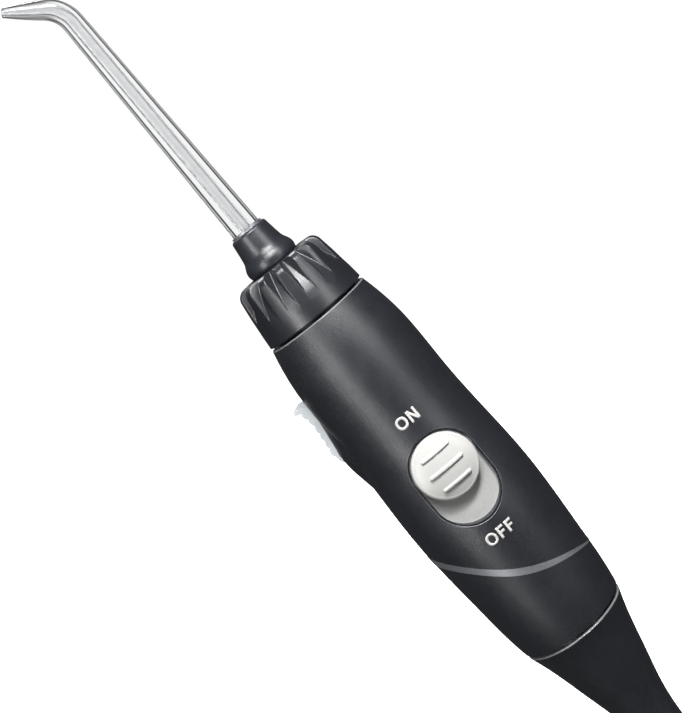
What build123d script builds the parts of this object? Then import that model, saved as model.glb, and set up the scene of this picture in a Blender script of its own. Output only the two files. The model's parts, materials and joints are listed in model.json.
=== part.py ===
from build123d import *

import math
import os

# Handset of a countertop water flosser, in millimetres.
#
# The main axis is Z. z = 0 is the open end of the tail, where the hose enters, and +Z runs to the
# jet tip. The front, with the slide switch, faces -Y. The release button is on the -X side, and
# the nozzle of the jet tip bends towards -X.

# --- driving dimensions -------------------------------------------------------------------------

GAP = 0.1                      # seam between the two shells, and general assembly clearance
RUNNING_FIT = 0.06             # radial clearance of a turning or sliding fit
WALL = 1.8                     # wall of the shells

EDGE_ROUND = 0.35              # rounding of the outer edges at the seams
TAIL_TOP = 42.4                # seam between the tail sleeve and the shells
BODY_BOTTOM = 43.1
BODY_TOP = 129.4
KNOB_BOTTOM = 130.0
KNOB_TOP = 143.3
COLLAR_TOP = 152.4

# Outside of the handle as (z, radius).
TAIL_OUTLINE = [(0, 5.2), (8, 5.4), (17.8, 6.3), (27, 8.4), (36, 10.6), (TAIL_TOP, 12.5)]
BODY_OUTLINE = [
    (BODY_BOTTOM, 12.75),
    (49.5, 13.6),
    (58.4, 14.3),
    (67.3, 14.93),
    (79, 15.3),
    (89, 14.9),
    (104, 14.3),
    (119.5, 14.1),
    (126, 13.1),
    (BODY_TOP, 12.4),
]

# Trim band as (x, upper z, lower z), from the parting line to its taper on the right.
BAND_EDGES = [
    (-15.6, 74.3, 72.1),
    (-7.9, 67.3, 65.45),
    (-2.6, 63.4, 61.5),
    (4.2, 59.8, 58.4),
    (8.2, 58.05, 57.0),
    (10.8, 56.75, 56.0),
    (12.9, 55.4, 55.0),
    (14.1, 54.4, 54.25),
]
BAND_PROUD = 0.1
BAND_DEPTH = 0.55

# Water way.
HOSE_MOUTH_RADIUS = 3.6
HOSE_MOUTH_LENGTH = 8.0
MOUTH_ROUND = 0.6
SPIGOT_RADIUS = 2.38           # spigots that carry the soft tubes
TUBE_INNER = 2.4
TUBE_OUTER = 3.4
WATER_RADIUS = 1.5

# Neck of the tail sleeve, which the shells clamp.
NECK_OUTER = 10.85
NECK_INNER = 9.4
NECK_TOP = 49.5

# Slide switch: the button moves down from ON to OFF.
SWITCH_ON_Z = 89.5
SWITCH_TRAVEL = 6.5
SWITCH_OFF_Z = SWITCH_ON_Z - SWITCH_TRAVEL
BUTTON_RADIUS = 7.18
STEM_Z = SWITCH_ON_Z + 1.8      # stem and screw behind the button
TRAY_RECESS_RADIUS = 7.3
TRAY_RADIUS = 7.5
BEZEL_INNER_RADIUS = 7.65
BEZEL_RADIUS = 7.93
TRAY_OPENING_RADIUS = 7.95
TRAY_SUNK = 0.25               # rim of the tray below the surface of the shell
TRAY_FLOOR_Y = -12.3
TRAY_BACK_Y = -11.1
TRAY_FLANGE_Y = -9.8
TRAY_FLANGE_BACK_Y = -8.8
TRAY_FLANGE_RADIUS = 8.5
TRAY_POCKET_RADIUS = 6.6

# Shut-off valve: a cross-drilled plug that turns about X, worked by a crank.
VALVE_Z = SWITCH_ON_Z - SWITCH_TRAVEL / 2
PLUG_RADIUS = 3.5
PLUG_SWING = 70.0              # degrees over the whole travel of the switch
CRANK_LENGTH = SWITCH_TRAVEL / 2 / math.sin(math.radians(PLUG_SWING / 2))
CRANK_PIN_RADIUS = 0.75
VALVE_HALF_WIDTH = 5.0
VALVE_HALF_DEPTH = 4.7
VALVE_BOTTOM = 78.0
VALVE_TOP = 95.0
SEAL_POSITIONS = (-2.7, 2.8)   # x of the two seals on the plug
SEAL_MAJOR = 3.02
SEAL_MINOR = 0.5

# Tip seat, seal and latch.
SEAT_RADIUS = 8.0
SEAT_BOTTOM = 104.5
SEAT_TOP = 120.5
SHANK_RADIUS = 3.1
SHANK_BOTTOM = 108.6
LATCH_Z = 114.4
LATCH_THICKNESS = 1.6
LATCH_HALF_WIDTH = 5.0
SPRING_PAD_X = 8.1             # face of the latch plate that the spring bears on
SPRING_END_X = 11.35
SPRING_Y = -2.35
SPRING_TURNS = 3

# Release button: hinged about a pin. The mechanism is built facing -X and turned to the rear.
RELEASE_TURN = -16.0           # degrees about Z
RELEASE_PIN_X = -12.3
RELEASE_PIN_Z = 101.5
RELEASE_PIN_RADIUS = 0.8
RELEASE_HALF_WIDTH = 3.45
WINDOW_HALF_WIDTH = 3.7
WINDOW_BOTTOM = 99.4
WINDOW_TOP = 117.2
FAIRING_OUTLINE = [
    (86, 7.9), (91, 8.55), (96, 9.35), (101, 9.9), (106, 9.45), (111, 8.72), (117.6, 7.95),
]
FAIRING_OFFSET = 6.16          # axis of the swelling of the shells round the button
LOBE_START = 103.45            # z of the lowest valley between the grip lobes
LOBE_PITCH = 1.95
LOBE_DEPTH = 0.38
LOBE_COUNT = 6

# Head: the spindle carries the knob and turns in the bushing.
SPINDLE_RADIUS = 7.0
SPINDLE_BOTTOM = 121.0
SPINDLE_TOP = 140.0
BUSHING_FLANGE_RADIUS = 10.4
BUSHING_RADIUS = 8.6
BUSHING_BOTTOM = 123.6
BUSHING_STEP = 126.0
BUSHING_TOP = 129.2
CLIP_GROOVE_RADIUS = 6.5
CLIP_RADIUS = 8.4
CLIP_BOTTOM = 122.4
CLIP_TOP = 123.5

# Knob.
FLUTE_COUNT = 14
FLUTE_FIRST_ANGLE = 10.2       # from the front towards +X
FLUTE_TOP = 143.4              # height where a flute is deepest, at the shoulder
FLUTE_DEPTH = 3.06
FLUTE_END = 134.0              # and where it fades into the side
FLUTE_HALF_WIDTHS = (0.05, 1.35)   # of its floor at the top and at the end
FLUTE_LEAN = 0.6               # outward lean of its walls
KNOB_SIDE = [(130, 12.3), (133.5, 11.95), (137.5, 11.5), (141, 11.0), (145.2, 10.4)]
COLLAR_STUB_RADIUS = 5.15

# Jet tip: a straight tube, an arc and a tapering nozzle.
TIP_BORE_RADIUS = 0.9
NOZZLE_BEND_Z = 208.15
NOZZLE_BEND_RADIUS = 7.0
NOZZLE_BEND_ANGLE = 55.0
NOZZLE_LENGTH = 8.6
NOZZLE_RADIUS = 1.0
NOZZLE_BORE_RADIUS = 0.45

# Case screws as (x, z), driven along Y from the rear.
CASE_SCREWS = [(-8.0, 66.0), (8.0, 66.0), (8.5, 100.4)]
SCREW_RADIUS = 1.25
SCREW_HEAD_RADIUS = 2.4
SCREW_HEAD_TOP_Y = 9.6
SCREW_HEAD_HEIGHT = 1.6
SCREW_TIP_Y = -6.0
BOSS_RADIUS = 3.1

FAR = 40.0                     # reaches past the outside in any cut


# --- shared shapes ------------------------------------------------------------------------------

def box(x0, x1, y0, y1, z0, z1):
    """Block between opposite corners."""
    middle = Pos((x0 + x1) / 2, (y0 + y1) / 2, (z0 + z1) / 2)
    return middle * Box(x1 - x0, y1 - y0, z1 - z0)


def rod_x(radius, x0, x1, y, z):
    """Cylinder along X."""
    return Pos((x0 + x1) / 2, y, z) * Rot(0, 90, 0) * Cylinder(radius, x1 - x0)


def rod_y(radius, y0, y1, x, z):
    """Cylinder along Y."""
    return Pos(x, (y0 + y1) / 2, z) * Rot(90, 0, 0) * Cylinder(radius, y1 - y0)


def rod_z(radius, z0, z1):
    """Cylinder on the main axis."""
    return Pos(0, 0, (z0 + z1) / 2) * Cylinder(radius, z1 - z0)


def ring(outer, inner, z0, z1):
    """Washer or sleeve on the main axis."""
    return rod_z(outer, z0, z1) - rod_z(inner, z0 - 1, z1 + 1)


def edge_arc(corner, size, up):
    """Quarter arc from the side of a turned piece to its end face, upwards (1) or downwards (-1)."""
    reach = size * math.sqrt(0.5)
    middle = (corner.X - size + reach, 0, corner.Z + up * reach)
    return ThreePointArc(corner, middle, (corner.X - size, 0, corner.Z + up * size))


def turned(outline, grow=0.0, low_round=0.0, high_round=0.0):
    """Solid of revolution whose side is one smooth curve through (z, radius) points."""
    (bottom, bottom_radius), (top, top_radius) = outline[0], outline[-1]
    points = [(bottom + low_round, bottom_radius), *outline[1:-1], (top - high_round, top_radius)]
    side = Spline(*[(radius + grow, 0, z) for z, radius in points])
    low, high = side @ 0, side @ 1
    profile = Curve() + side
    if low_round:
        arc = edge_arc(low, low_round, -1)
        profile, low = profile + arc, arc @ 1
    if high_round:
        arc = edge_arc(high, high_round, 1)
        profile, high = profile + arc, arc @ 1
    closing = Polyline(high, (0, 0, top), (0, 0, bottom), low)
    return revolve(make_face((profile + closing).edges()), Axis.Z)


def lathe(*points):
    """Solid of revolution with straight flanks through (radius, z) points."""
    outline = Polyline(*[(radius, 0, z) for radius, z in points], close=True)
    return revolve(make_face(outline.edges()), Axis.Z)


def stadium(radius, y0, y1):
    """Rounded slot along the travel of the switch."""
    ends = rod_y(radius, y0, y1, 0, SWITCH_OFF_Z) + rod_y(radius, y0, y1, 0, SWITCH_ON_Z)
    return ends + box(-radius, radius, y0, y1, SWITCH_OFF_Z, SWITCH_ON_Z)


def radius_at(outline, z):
    """Radius of an outline at a height, between its two neighbouring points."""
    for (z0, r0), (z1, r1) in zip(outline, outline[1:]):
        if z0 <= z <= z1:
            return r0 + (r1 - r0) * (z - z0) / (z1 - z0)
    raise ValueError("height outside the outline")


# --- handle: shells, sleeve and trim ------------------------------------------------------------

def handle_blank():
    """Both shells as one hollow piece, before it is split."""
    cavity_outline = [(z, r - WALL) for z, r in BODY_OUTLINE if NECK_TOP <= z < BUSHING_BOTTOM]
    cavity_outline.append((BUSHING_BOTTOM, radius_at(BODY_OUTLINE, BUSHING_BOTTOM) - WALL))
    blank = turned(BODY_OUTLINE, 0, EDGE_ROUND, EDGE_ROUND) + release_fairing() - turned(cavity_outline)
    blank -= rod_z(NECK_OUTER + 0.05, BODY_BOTTOM - 1, NECK_TOP)
    blank -= rod_z(BUSHING_RADIUS + 0.05, BUSHING_BOTTOM - 1, BUSHING_STEP + 1)
    blank -= rod_z(BUSHING_FLANGE_RADIUS + 0.05, BUSHING_STEP, BODY_TOP + 1)
    return blank


def rib(z0, z1, opening):
    """Cross wall between the shell walls with an opening in it."""
    disc = rod_z(radius_at(BODY_OUTLINE, z0) - WALL / 2, z0, z1)
    return disc - opening


def shell_ribs():
    """Cross walls that hold the inlet tube and the tip seat in both shells."""
    tube_rib = rib(56.0, 57.6, rod_z(TUBE_OUTER + 0.05, 50, 60))
    seat_rib = rib(107.0, 108.6, rod_z(SEAT_RADIUS + 0.05, 100, 112))
    return [tube_rib, seat_rib]


def valve_ribs():
    """Two cross walls of the rear shell that hold the valve body."""
    width = VALVE_HALF_WIDTH + 0.05
    pocket = box(-width, width, -FAR, VALVE_HALF_DEPTH + 0.05, 70, 100)
    front = box(-FAR, FAR, -FAR, 3.0, 70, 100)
    return [rib(z, z + 1.5, pocket) - front for z in (79.5, 92.0)]


def release_fairing():
    """Gentle swelling of the shells that the release button sits in."""
    return Rot(0, 0, RELEASE_TURN) * Pos(-FAIRING_OFFSET, 0, 0) * turned(FAIRING_OUTLINE)


def release_window():
    """Opening for the release button up to the parting line, with the holes of its hinge pin."""
    window = box(-FAR, -9, -WINDOW_HALF_WIDTH, WINDOW_HALF_WIDTH, WINDOW_BOTTOM, WINDOW_TOP)
    pin_hole = rod_y(RELEASE_PIN_RADIUS + 0.02, -4.7, 4.7, RELEASE_PIN_X, RELEASE_PIN_Z)
    front_edge = box(-FAR, -9, 0, 0.6, WINDOW_BOTTOM, WINDOW_TOP)
    return Rot(0, 0, RELEASE_TURN) * (window + pin_hole) + front_edge


def band_prism(play=0.0):
    """Swoosh of the trim band as seen from the front, drawn out along Y."""
    upper = Spline(*[(x, 0, top + play) for x, top, _ in BAND_EDGES])
    lower = Spline(*[(x, 0, bottom - play) for x, _, bottom in BAND_EDGES])
    left = Line(upper @ 0, lower @ 0)
    right = Line(upper @ 1, lower @ 1)
    face = make_face((Curve() + upper + right + lower + left).edges())
    return extrude(face, amount=FAR, dir=(0, -1, 0))


def screw_boss(x, z, y0, y1):
    """Solid post for a case screw, drilled for the screw."""
    return rod_y(BOSS_RADIUS, y0, y1, x, z)


def front_shell():
    """Front half with the switch opening, the screw posts and the groove of the trim band."""
    blank = handle_blank() + shell_ribs()
    inside = turned(BODY_OUTLINE, -WALL / 2)
    for x, z in CASE_SCREWS:
        blank += screw_boss(x, z, -FAR, -GAP) & inside
    for x, z in CASE_SCREWS:
        blank -= rod_y(SCREW_RADIUS, SCREW_TIP_Y - 1, 1, x, z)
    shell = blank & box(-FAR, FAR, -FAR, -GAP / 2, 0, 140)
    shell -= stadium(TRAY_OPENING_RADIUS, -FAR, -6)
    shell -= release_window()
    return shell - (band_prism(0.02) - turned(BODY_OUTLINE, -BAND_DEPTH - 0.05))


def rear_shell():
    """Rear half with the counterbored screw posts."""
    blank = handle_blank() + shell_ribs() + valve_ribs()
    inside = turned(BODY_OUTLINE, -WALL / 2)
    for x, z in CASE_SCREWS:
        blank += screw_boss(x, z, GAP, FAR) & inside
    for x, z in CASE_SCREWS:
        blank -= rod_y(SCREW_RADIUS + 0.1, -1, FAR, x, z)
        blank -= rod_y(SCREW_HEAD_RADIUS + 0.2, SCREW_HEAD_TOP_Y - SCREW_HEAD_HEIGHT, FAR, x, z)
    shell = blank & box(-FAR, FAR, GAP / 2, FAR, 0, 140)
    return shell - release_window()


def trim_band():
    """Metallic swoosh let into the front shell."""
    skin = turned(BODY_OUTLINE, BAND_PROUD) - turned(BODY_OUTLINE, -BAND_DEPTH)
    return (band_prism() & skin) & box(-FAR, FAR, -FAR, -GAP / 2, 0, 140)


def tail_sleeve():
    """Tapering end piece with the mouth for the hose and the neck that the shells clamp."""
    neck = rod_z(NECK_OUTER, TAIL_TOP - 2, NECK_TOP)
    bell = [(4.72, 21.2), (6.7, 27), (8.8, 36), (NECK_INNER, 41), (NECK_INNER, NECK_TOP + 1)]
    hollow = lathe((0, 20), (4.72, 20), *bell, (0, NECK_TOP + 1))
    sleeve = turned(TAIL_OUTLINE, 0, MOUTH_ROUND, EDGE_ROUND) + neck - hollow
    sleeve -= rod_z(HOSE_MOUTH_RADIUS, -1, HOSE_MOUTH_LENGTH)
    sleeve -= rod_z(4.0, HOSE_MOUTH_LENGTH, 17)
    return sleeve - rod_z(4.45, 17, 20)


# --- slide switch -------------------------------------------------------------------------------

def switch_tray():
    """Recessed tray that the button slides in, with a flange inside the shell."""
    plug = stadium(TRAY_RADIUS, -FAR, TRAY_FLANGE_Y) & turned(BODY_OUTLINE, -TRAY_SUNK)
    tray = plug + stadium(TRAY_FLANGE_RADIUS, TRAY_FLANGE_Y, TRAY_FLANGE_BACK_Y)
    tray -= stadium(TRAY_RECESS_RADIUS, -FAR, TRAY_FLOOR_Y)
    tray -= stadium(TRAY_POCKET_RADIUS, TRAY_BACK_Y, 0)
    return tray - box(-1.6, 1.6, -FAR, 0, STEM_Z - SWITCH_TRAVEL - 1.6, STEM_Z + 1.6)


def switch_bezel():
    """Thin polished ring that lines the opening of the front shell."""
    band = stadium(BEZEL_RADIUS, -FAR, TRAY_FLANGE_Y) - stadium(BEZEL_INNER_RADIUS, -FAR, 0)
    return band & turned(BODY_OUTLINE)


def slider_button():
    """Domed round button with three raised ribs and the stem behind it."""
    edge_y, crown_y = -14.3, -16.1
    body = rod_y(BUTTON_RADIUS, edge_y, TRAY_FLOOR_Y - 0.15, 0, SWITCH_ON_Z)
    rise = edge_y - crown_y
    sphere_radius = (BUTTON_RADIUS ** 2 + rise ** 2) / (2 * rise)
    dome = Pos(0, crown_y + sphere_radius, SWITCH_ON_Z) * Sphere(sphere_radius)
    body += dome & rod_y(BUTTON_RADIUS, -FAR, edge_y, 0, SWITCH_ON_Z)
    for offset, length in ((-3.8, 7.3), (0.0, 8.7), (3.8, 7.3)):
        body += button_rib(SWITCH_ON_Z + offset, length)
    body += box(-1.3, 1.3, TRAY_FLOOR_Y - 0.5, -11.0, STEM_Z - 1.4, STEM_Z + 1.4)
    return body - rod_y(0.6, -13.2, 0, 0, STEM_Z)


def button_rib(z, length):
    """Grip rib across the button with rounded ends."""
    half = length / 2 - 0.4
    bar = box(-half, half, -16.45, -14.6, z - 0.4, z + 0.4)
    return bar + rod_y(0.4, -16.45, -14.6, -half, z) + rod_y(0.4, -16.45, -14.6, half, z)


def slider_carriage():
    """Block behind the tray, with a bridge and the fork that drives the crank pin."""
    z = SWITCH_ON_Z
    carriage = box(-4, 4, -11, -8.7, z - 5, z + 5)
    carriage += box(-4, 8.3, -8.7, -7.5, z - 2.2, z + 2.2)
    carriage += box(7.0, 8.3, -7.5, -3.6, z - 2.2, z + 2.2)
    carriage -= box(6.5, 9, -7.5, -3, z - 0.9, z + 0.9)
    carriage -= rod_y(0.6, -FAR, 0, 0, STEM_Z)
    return carriage - rod_y(1.5, -8.9, 0, 0, STEM_Z)


def slider_screw():
    """Screw that ties the carriage to the stem of the button."""
    screw = rod_y(0.6, -13.0, -8.9, 0, STEM_Z) + rod_y(1.35, -8.9, -7.9, 0, STEM_Z)
    return screw - box(-1.0, 1.0, -8.3, -7, STEM_Z - 0.15, STEM_Z + 0.15)


# --- shut-off valve -----------------------------------------------------------------------------

def valve_body():
    """Block with a cross bore for the plug, ports along Z and a spigot at each end."""
    width, depth = VALVE_HALF_WIDTH, VALVE_HALF_DEPTH
    body = box(-width, width, -depth, depth, VALVE_BOTTOM, VALVE_TOP)
    body += rod_z(SPIGOT_RADIUS, VALVE_BOTTOM - 4, VALVE_BOTTOM)
    body += rod_z(SPIGOT_RADIUS, VALVE_TOP, VALVE_TOP + 4)
    body -= rod_z(WATER_RADIUS, VALVE_BOTTOM - 5, VALVE_TOP + 5)
    body -= rod_x(PLUG_RADIUS + RUNNING_FIT, -3.8, 6, 0, VALVE_Z)
    return body - rod_x(4.4, 4.2, 6, 0, VALVE_Z)


def valve_plug():
    """Cross-drilled plug with two seal grooves and the stub that carries the crank."""
    plug = rod_x(PLUG_RADIUS, -3.7, 4.1, 0, VALVE_Z) + rod_x(1.5, 4.1, 6.6, 0, VALVE_Z)
    plug -= rod_z(WATER_RADIUS, VALVE_Z - 5, VALVE_Z + 5)
    for x in SEAL_POSITIONS:
        groove = rod_x(PLUG_RADIUS + 1, x - 0.6, x + 0.6, 0, VALVE_Z)
        plug -= groove - rod_x(2.5, x - 0.6, x + 0.6, 0, VALVE_Z)
    return plug


def plug_seal(x):
    """O-ring in a groove of the plug."""
    return Pos(x, 0, VALVE_Z) * Rot(0, 90, 0) * Torus(SEAL_MAJOR, SEAL_MINOR)


def plug_crank():
    """Arm on the end of the plug, with the pin that the fork of the carriage moves."""
    lift = math.radians(PLUG_SWING / 2)
    pin_y = -CRANK_LENGTH * math.cos(lift)
    pin_z = VALVE_Z + CRANK_LENGTH * math.sin(lift)
    hub = rod_x(2.3, 5.3, 6.6, 0, VALVE_Z)
    bar = box(5.3, 6.6, -CRANK_LENGTH, 0, -0.9, 0.9)
    arm = Pos(0, 0, VALVE_Z) * Rot(-PLUG_SWING / 2, 0, 0) * bar
    end = rod_x(0.95, 5.3, 6.6, pin_y, pin_z)
    crank = hub + arm + end - rod_x(1.5, 5, 7, 0, VALVE_Z)
    return crank + rod_x(CRANK_PIN_RADIUS, 6.6, 8.2, pin_y, pin_z)


def plug_retainer():
    """Ring that closes the bore of the valve body round the stub of the plug."""
    return rod_x(4.38, 4.25, 5.0, 0, VALVE_Z) - rod_x(1.6, 4, 6, 0, VALVE_Z)


# --- water way in the handle --------------------------------------------------------------------

def hose_connector():
    """Barbed connector: a spigot for the hose below and one for the inlet tube above."""
    connector = rod_z(2.0, 8.6, 17) + rod_z(4.4, 17, 20) + rod_z(SPIGOT_RADIUS, 20, 25)
    return connector - rod_z(1.2, 8, 26)


def connector_retainer():
    """Ring pressed into the sleeve behind the flange of the connector."""
    return ring(4.7, 2.5, 20.05, 21.0)


def inlet_tube():
    """Soft tube from the connector to the valve."""
    return ring(TUBE_OUTER, TUBE_INNER, 21.1, VALVE_BOTTOM - 0.1)


def outlet_tube():
    """Short tube from the valve to the tip seat."""
    return ring(TUBE_OUTER, TUBE_INNER, VALVE_TOP + 0.1, SEAT_BOTTOM - 0.1)


def tip_seat():
    """Block that the shank of the tip plugs into, with its seal groove and latch slot."""
    seat = rod_z(SEAT_RADIUS, SEAT_BOTTOM, SEAT_TOP) + rod_z(SPIGOT_RADIUS, 100.5, SEAT_BOTTOM)
    seat -= rod_z(WATER_RADIUS, 99, SEAT_TOP)
    seat -= rod_z(SHANK_RADIUS + RUNNING_FIT, SHANK_BOTTOM - 0.3, SEAT_TOP + 1)
    seat -= rod_z(4.5, 110.9, 112.1)
    half, width = LATCH_THICKNESS / 2 + 0.15, LATCH_HALF_WIDTH + 0.15
    return seat - Rot(0, 0, RELEASE_TURN) * box(-9, 9, -width, width, LATCH_Z - half, LATCH_Z + half)


def tip_seal():
    """O-ring round the shank of the tip."""
    return Pos(0, 0, 111.5) * Torus(3.8, 0.58)


def head_bushing():
    """Flanged bushing that the spindle turns in."""
    bore = SPINDLE_RADIUS + RUNNING_FIT
    flange = ring(BUSHING_FLANGE_RADIUS, bore, BUSHING_STEP, BUSHING_TOP)
    return flange + ring(BUSHING_RADIUS, bore, BUSHING_BOTTOM, BUSHING_STEP)


def case_screw(x, z):
    """Screw with a slotted pan head, driven from the rear."""
    under_head = SCREW_HEAD_TOP_Y - SCREW_HEAD_HEIGHT
    screw = rod_y(SCREW_RADIUS - 0.02, SCREW_TIP_Y, under_head, x, z)
    screw += rod_y(SCREW_HEAD_RADIUS, under_head, SCREW_HEAD_TOP_Y, x, z)
    cross = box(x - 1.5, x + 1.5, SCREW_HEAD_TOP_Y - 0.8, FAR, z - 0.3, z + 0.3)
    cross += box(x - 0.3, x + 0.3, SCREW_HEAD_TOP_Y - 0.8, FAR, z - 1.5, z + 1.5)
    return screw - cross


# --- release button and latch -------------------------------------------------------------------

def crest(z):
    """Line of the grip lobes: nearest to the handle at z = 112, swelling to the foot and the hook."""
    return (-15.72 - 0.075 * max(112 - z, 0) ** 1.2 - 0.21 * max(z - 112, 0), 0, z)


def valley(z):
    x, y, _ = crest(z)
    return (x + LOBE_DEPTH, y, z)


def release_button():
    """Lever hinged at its lower end, with grip lobes, a hooked top and a pusher for the latch plate."""
    valleys = [LOBE_START + step * LOBE_PITCH for step in range(LOBE_COUNT + 1)]
    edges = [Spline((-13.4, 0, 100.3), (-15.7, 0, 101.3), valley(LOBE_START))]
    for low, high in zip(valleys, valleys[1:]):
        edges.append(ThreePointArc(valley(low), crest((low + high) / 2), valley(high)))
    edges.append(Spline(valley(valleys[-1]), (-16.6, 0, 115.3), (-17.25, 0, 115.6), (-17.5, 0, 116.1)))
    edges.append(Spline((-17.5, 0, 116.1), (-17.05, 0, 116.5), (-16.2, 0, 116.35), (-14.6, 0, 115.9)))
    edges.append(Polyline((-14.6, 0, 115.9), (-12.7, 0, 115.8), (-12.9, 0, 103.2), (-12.3, 0, 103.1)))
    edges.append(ThreePointArc((-12.3, 0, 103.1), (-10.9, 0, 101.5), (-12.3, 0, 99.9)))
    edges.append(Line((-12.3, 0, 99.9), (-13.4, 0, 100.3)))
    outline = Curve()
    for edge in edges:
        outline += edge
    half = RELEASE_HALF_WIDTH
    lever = extrude(make_face(outline.edges()), amount=half, both=True, dir=(0, 1, 0))
    lever += box(-13.2, -11.4, -2.5, 2.5, LATCH_Z - 0.5, LATCH_Z + 0.5)
    lever -= rod_y(RELEASE_PIN_RADIUS + RUNNING_FIT, -5, 5, RELEASE_PIN_X, RELEASE_PIN_Z)
    return Rot(0, 0, RELEASE_TURN) * lever


def hinge_pin():
    """Pin of the release button, held in both shells."""
    pin = rod_y(RELEASE_PIN_RADIUS, -4.6, 4.6, RELEASE_PIN_X, RELEASE_PIN_Z)
    return Rot(0, 0, RELEASE_TURN) * pin


def latch_plate():
    """Sliding plate with a long hole round the shank of the tip, and a pad square to the spring."""
    half = LATCH_THICKNESS / 2
    plate = box(-11.05, 8.0, -LATCH_HALF_WIDTH, LATCH_HALF_WIDTH, LATCH_Z - half, LATCH_Z + half)
    hole = box(-1.2, -0.5, -3.7, 3.7, 110, 120)
    hole += Pos(-1.2, 0, LATCH_Z) * Cylinder(3.7, 5)
    hole += Pos(-0.5, 0, LATCH_Z) * Cylinder(3.7, 5)
    pad = box(7.0, SPRING_PAD_X, SPRING_Y - 1.8, SPRING_Y + 1.8, LATCH_Z - half, LATCH_Z + half)
    return Rot(0, 0, RELEASE_TURN) * (plate - hole) + pad


def latch_spring():
    """Coil spring between the latch plate and the wall of the handle."""
    wire, coil = 0.2, 1.3
    start = SPRING_PAD_X + wire + 0.05
    length = SPRING_END_X - start
    path = Helix(pitch=length / SPRING_TURNS, height=length, radius=coil)
    coil_solid = sweep(Plane(path @ 0, z_dir=path % 0) * Circle(wire), path=path)
    return Pos(start, SPRING_Y, LATCH_Z) * Rot(0, 90, 0) * coil_solid


# --- rotating head ------------------------------------------------------------------------------

def flute_cutter():
    """Groove that is a narrow slit at the shoulder and fades out as a broad shallow floor."""
    heights = [FLUTE_TOP + 1.6, FLUTE_TOP, 141.5, 139.5, 137.5, 135.5, FLUTE_END]
    return loft([flute_section(z) for z in heights])


def flute_section(z):
    """Level trapezium across a flute, open outwards."""
    share = (z - FLUTE_END) / (FLUTE_TOP - FLUTE_END)
    floor = radius_at(KNOB_SIDE, z) - FLUTE_DEPTH * share ** 1.6
    narrow, wide = FLUTE_HALF_WIDTHS
    half = max(wide + (narrow - wide) * share, 0.04)
    top = half + 5 * FLUTE_LEAN
    corners = [(floor, -half, z), (floor, half, z), (floor + 5, top, z), (floor + 5, -top, z)]
    return make_face(Polyline(*corners, close=True).edges())


def rotator_knob():
    """Fluted knob with a hub on the spindle and a top wall for the collar."""
    side = Spline(*[(radius, 0, z) for z, radius in KNOB_SIDE[:-1]])
    shoulder = ThreePointArc((11.0, 0, 141.0), (10.3, 0, 142.7), (8.8, 0, KNOB_TOP))
    closing = Polyline((8.8, 0, KNOB_TOP), (0, 0, KNOB_TOP), (0, 0, KNOB_BOTTOM), (12.3, 0, KNOB_BOTTOM))
    knob = revolve(make_face((Curve() + side + shoulder + closing).edges()), Axis.Z)
    knob -= rod_z(SPINDLE_RADIUS, KNOB_BOTTOM - 1, SPINDLE_TOP)
    knob -= rod_z(COLLAR_STUB_RADIUS, SPINDLE_TOP, KNOB_TOP + 1)
    knob -= ring(9.9, 8.6, KNOB_BOTTOM - 1, 136.5)
    knob -= rod_z(9.95, KNOB_BOTTOM - 1, KNOB_BOTTOM + 0.2)
    cutter = flute_cutter()
    for index in range(FLUTE_COUNT):
        angle = FLUTE_FIRST_ANGLE - 90 + index * 360 / FLUTE_COUNT
        knob -= Rot(0, 0, angle) * cutter
    return knob


def nose_collar():
    """Flared cone round the tip, with a stub in the top wall of the knob."""
    side = Spline(
        (5.7, 0, KNOB_TOP), (6.0, 0, 144.0), (6.07, 0, 144.9), (5.7, 0, 146.1), (5.15, 0, 147.2),
        (4.92, 0, 148.3), (4.69, 0, 149.8), (4.45, 0, 151.5),
    )
    lip = ThreePointArc((4.45, 0, 151.5), (4.22, 0, 152.15), (3.8, 0, COLLAR_TOP))
    closing = Polyline((3.8, 0, COLLAR_TOP), (0, 0, COLLAR_TOP), (0, 0, KNOB_TOP), (5.7, 0, KNOB_TOP))
    collar = revolve(make_face((Curve() + side + lip + closing).edges()), Axis.Z)
    collar += rod_z(COLLAR_STUB_RADIUS, SPINDLE_TOP, KNOB_TOP)
    return collar - rod_z(3.45, SPINDLE_TOP - 1, COLLAR_TOP + 1)


def tip_spindle():
    """Sleeve that carries the knob and turns in the bushing."""
    spindle = ring(SPINDLE_RADIUS, SHANK_RADIUS + RUNNING_FIT, SPINDLE_BOTTOM, SPINDLE_TOP)
    return spindle - ring(SPINDLE_RADIUS + 1, CLIP_GROOVE_RADIUS, CLIP_BOTTOM, CLIP_TOP)


def spindle_clip():
    """Split clip that keeps the spindle in the bushing."""
    clip = ring(CLIP_RADIUS, CLIP_GROOVE_RADIUS + 0.02, CLIP_BOTTOM + 0.05, CLIP_TOP - 0.05)
    return clip - box(0, 20, -1.2, 1.2, 120, 126)


def knob_washer():
    """Thrust washer between the bushing and the knob."""
    return ring(9.6, SPINDLE_RADIUS + 0.3, BUSHING_TOP + 0.05, KNOB_BOTTOM + 0.15)


# --- jet tip ------------------------------------------------------------------------------------

def nozzle_frame(distance):
    """Centre and direction of the nozzle at a distance along it from the start of the bend."""
    arc_length = math.radians(NOZZLE_BEND_ANGLE) * NOZZLE_BEND_RADIUS
    angle = math.radians(NOZZLE_BEND_ANGLE) * min(distance / arc_length, 1.0)
    along = max(distance - arc_length, 0.0)
    x = -NOZZLE_BEND_RADIUS * (1 - math.cos(angle)) - along * math.sin(angle)
    z = NOZZLE_BEND_Z + NOZZLE_BEND_RADIUS * math.sin(angle) + along * math.cos(angle)
    return Plane((x, 0, z), x_dir=(0, 1, 0), z_dir=(-math.sin(angle), 0, math.cos(angle)))


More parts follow.
